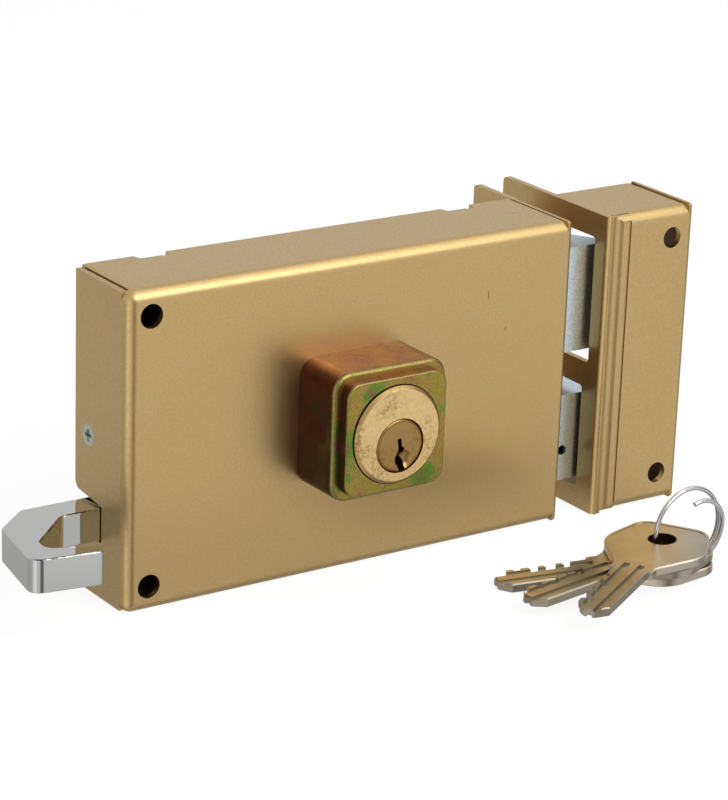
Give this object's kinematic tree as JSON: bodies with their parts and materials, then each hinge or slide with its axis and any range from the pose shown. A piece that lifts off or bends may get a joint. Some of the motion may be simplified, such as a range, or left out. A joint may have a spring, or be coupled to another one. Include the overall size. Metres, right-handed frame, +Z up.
{
  "type": "rim box lock",
  "caption": "Surface-mounted rim lock with a sprung latch, a dead bolt, a key cylinder, a hook pull, its box keeper and keys on a wire ring.",
  "frame": {"origin": "on the door-side face of the back plate, midway between the two case screw holes", "axes": "+X towards the keeper, +Y out of the back towards the door, +Z up"},
  "size_m": [0.183, 0.1028, 0.0753],
  "materials": {
    "gold_paint": "satin gold paint",
    "zinc_sheet": "galvanised sheet",
    "zinc_cast": "fine cast grain, satin",
    "yellow_zinc": "yellow passivated, iridescent",
    "brass": "turned, satin",
    "chrome": "mirror",
    "nickel": "satin nickel",
    "steel": "bright zinc plated",
    "spring_steel": "drawn wire"
  },
  "bodies": {
    "case": {"case_cover": "gold_paint", "back_plate": "zinc_sheet", "side_screw": "steel", "cylinder_housing": "yellow_zinc", "housing_screws": "steel", "cylinder_body": "brass", "cylinder_nut": "brass", "driver_pins": "brass", "pin_springs": "spring_steel", "chamber_plugs": "brass", "guide_posts": "steel", "post_screws": "steel", "spring_bracket": "zinc_sheet", "spring_rod": "steel", "latch_spring": "spring_steel", "lever_pivot": "steel", "bolt_spring": "spring_steel", "keeper_strike": "gold_paint", "keeper_box": "gold_paint", "key_ring": "nickel"},
    "plug": {"cylinder_plug": "brass", "key_pins": "brass", "cam": "steel", "cam_clip": "spring_steel"},
    "deadbolt": {"dead_bolt": "zinc_cast", "dead_bolt_tail": "zinc_sheet", "dead_bolt_rivets": "steel"},
    "latch": {"latch_bolt": "zinc_cast", "latch_slide": "zinc_sheet", "latch_rivets": "steel", "slide_pin": "steel", "pull_handle": "chrome", "pull_pin": "steel"},
    "lever": {"retract_lever": "zinc_sheet"},
    "key_1": {"key_1": "nickel"},
    "key_2": {"key_2": "nickel"},
    "key_3": {"key_3": "nickel"}
  },
  "joints": [
    {"name": "latch_pull", "type": "slide", "parent": "case", "child": "latch", "axis": [-1, 0, 0], "range_m": [0, 0.015], "stiffness_N_per_m": 300, "springref_m": -0.015, "deforming": ["latch_spring"]},
    {"name": "plug_turn", "type": "hinge", "parent": "case", "child": "plug", "pos_m": [0.05395, 0, -0.00198], "axis": [0, 1, 0], "range_deg": [0, 100]},
    {"name": "dead_bolt_slide", "type": "slide", "parent": "case", "child": "deadbolt", "axis": [-1, 0, 0], "range_m": [0, 0.02]},
    {"name": "lever_turn", "type": "hinge", "parent": "case", "child": "lever", "pos_m": [0.03825, 0, -0.00598], "axis": [0, -1, 0], "range_deg": [0, 40.6]},
    {"name": "key_1_swing", "type": "hinge", "parent": "case", "child": "key_1", "pos_m": [0.11588, -0.063, -0.035], "axis": [-0.0574, -0.0044, 0.9983], "range_deg": [-10, 10]},
    {"name": "key_2_swing", "type": "hinge", "parent": "case", "child": "key_2", "pos_m": [0.11473, -0.06301, -0.03271], "axis": [-0.0574, -0.0044, 0.9983], "range_deg": [-10, 10]},
    {"name": "key_3_swing", "type": "hinge", "parent": "case", "child": "key_3", "pos_m": [0.11361, -0.06302, -0.03042], "axis": [-0.0574, -0.0044, 0.9983], "range_deg": [-10, 10]}
  ],
  "couplings": [
    {"joint": "plug_turn", "follows": "dead_bolt_slide", "rad_per_m": 87.266},
    {"joint": "lever_turn", "follows": "latch_pull", "rad_per_m": 47.239}
  ]
}
